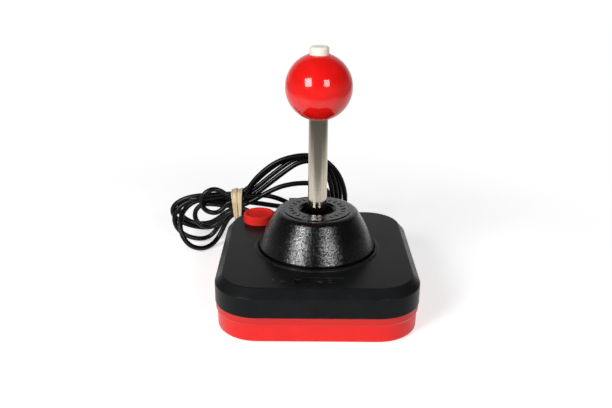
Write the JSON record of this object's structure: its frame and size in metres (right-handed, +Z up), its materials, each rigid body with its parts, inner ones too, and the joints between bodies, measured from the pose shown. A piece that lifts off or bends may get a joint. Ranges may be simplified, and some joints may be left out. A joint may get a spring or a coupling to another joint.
{
  "type": "joystick controller",
  "caption": "Joystick on a square bevelled base: plated stick in a cone turret, ball knob with a fire button, deck fire button, selector slide and a hanked cord with a plug.",
  "frame": {"origin": "on the table under the centre of the base", "axes": "+X to the player's right, +Y away from the player towards the cord, +Z up along the stick"},
  "size_m": [0.1602, 0.191, 0.1515],
  "materials": {
    "black_housing": "satin",
    "red_housing": "satin",
    "black_turret": "pebbled gloss",
    "red_knob": "high gloss",
    "cream_button": "satin",
    "red_button": "satin",
    "black_slider": "matte",
    "plated_shaft": "polished",
    "black_nylon": "matte",
    "white_nylon": "matte",
    "brass_insert": "turned",
    "spring_steel": "drawn",
    "screw_steel": "zinc plated",
    "black_rubber": "matte",
    "board": "matte",
    "leaf_insulator": "matte",
    "leaf_brass": "rolled",
    "cord_sheath": "satin",
    "band_rubber": "matte",
    "plug_steel": "tinned",
    "plug_insulator": "matte"
  },
  "bodies": {
    "base": {"centring_grommet": "black_rubber", "cord_hank": "cord_sheath", "cord_lead": "cord_sheath", "cord_tail": "cord_sheath", "deck_fire_fixed_leaf": "leaf_brass", "deck_fire_leaf_clamp": "leaf_insulator", "deck_fire_moving_leaf": "leaf_brass", "front_fixed_leaf": "leaf_brass", "front_leaf_clamp": "leaf_insulator", "front_moving_leaf": "leaf_brass", "hank_band": "band_rubber", "housing_screws": "screw_steel", "leaf_rivets": "leaf_brass", "left_fixed_leaf": "leaf_brass", "left_leaf_clamp": "leaf_insulator", "left_moving_leaf": "leaf_brass", "lower_housing": "red_housing", "pivot_retainer": "black_nylon", "plate_screws": "screw_steel", "plug_body": "cord_sheath", "plug_insert": "plug_insulator", "plug_shell": "plug_steel", "rear_fixed_leaf": "leaf_brass", "rear_leaf_clamp": "leaf_insulator", "rear_moving_leaf": "leaf_brass", "retainer_screws": "screw_steel", "right_fixed_leaf": "leaf_brass", "right_leaf_clamp": "leaf_insulator", "right_moving_leaf": "leaf_brass", "rubber_feet": "black_rubber", "selector_body": "black_slider", "stick_cone": "black_turret", "stick_fire_fixed_leaf": "leaf_brass", "stick_fire_leaf_clamp": "leaf_insulator", "stick_fire_moving_leaf": "leaf_brass", "strain_relief": "cord_sheath", "switch_plate": "board", "upper_housing": "black_housing"},
    "pivot": {"pivot_bush": "white_nylon"},
    "stick": {"shaft": "plated_shaft", "shaft_clip": "spring_steel", "actuator": "black_nylon", "pivot_ball": "white_nylon", "knob_insert": "brass_insert", "ball_knob": "red_knob", "plunger_spring": "spring_steel"},
    "plunger": {"top_button": "cream_button", "plunger_rod": "spring_steel"},
    "side_button": {"deck_button": "red_button"},
    "selector": {"selector_slider": "black_slider"}
  },
  "joints": [
    {"name": "stick_fore_aft", "type": "hinge", "parent": "base", "child": "pivot", "pos_m": [0, 0, 0.042], "axis": [1, 0, 0], "range_deg": [-10, 10], "stiffness_Nm_per_rad": 1.5, "deforming": ["front_moving_leaf", "front_fixed_leaf", "rear_moving_leaf", "rear_fixed_leaf", "centring_grommet"]},
    {"name": "stick_left_right", "type": "hinge", "parent": "pivot", "child": "stick", "pos_m": [0, 0, 0.042], "axis": [0, 1, 0], "range_deg": [-10, 10], "stiffness_Nm_per_rad": 1.5, "deforming": ["left_moving_leaf", "left_fixed_leaf", "right_moving_leaf", "right_fixed_leaf"]},
    {"name": "top_button_press", "type": "slide", "parent": "stick", "child": "plunger", "axis": [0, 0, -1], "range_m": [0, 0.002], "stiffness_N_per_m": 600, "springref_m": -0.002, "deforming": ["plunger_spring", "stick_fire_moving_leaf"]},
    {"name": "deck_button_press", "type": "slide", "parent": "base", "child": "side_button", "axis": [0, 0, -1], "range_m": [0, 0.0025], "stiffness_N_per_m": 400, "springref_m": -0.002, "deforming": ["deck_fire_moving_leaf"]},
    {"name": "selector_slide", "type": "slide", "parent": "base", "child": "selector", "axis": [-1, 0, 0], "range_m": [0, 0.004]}
  ]
}
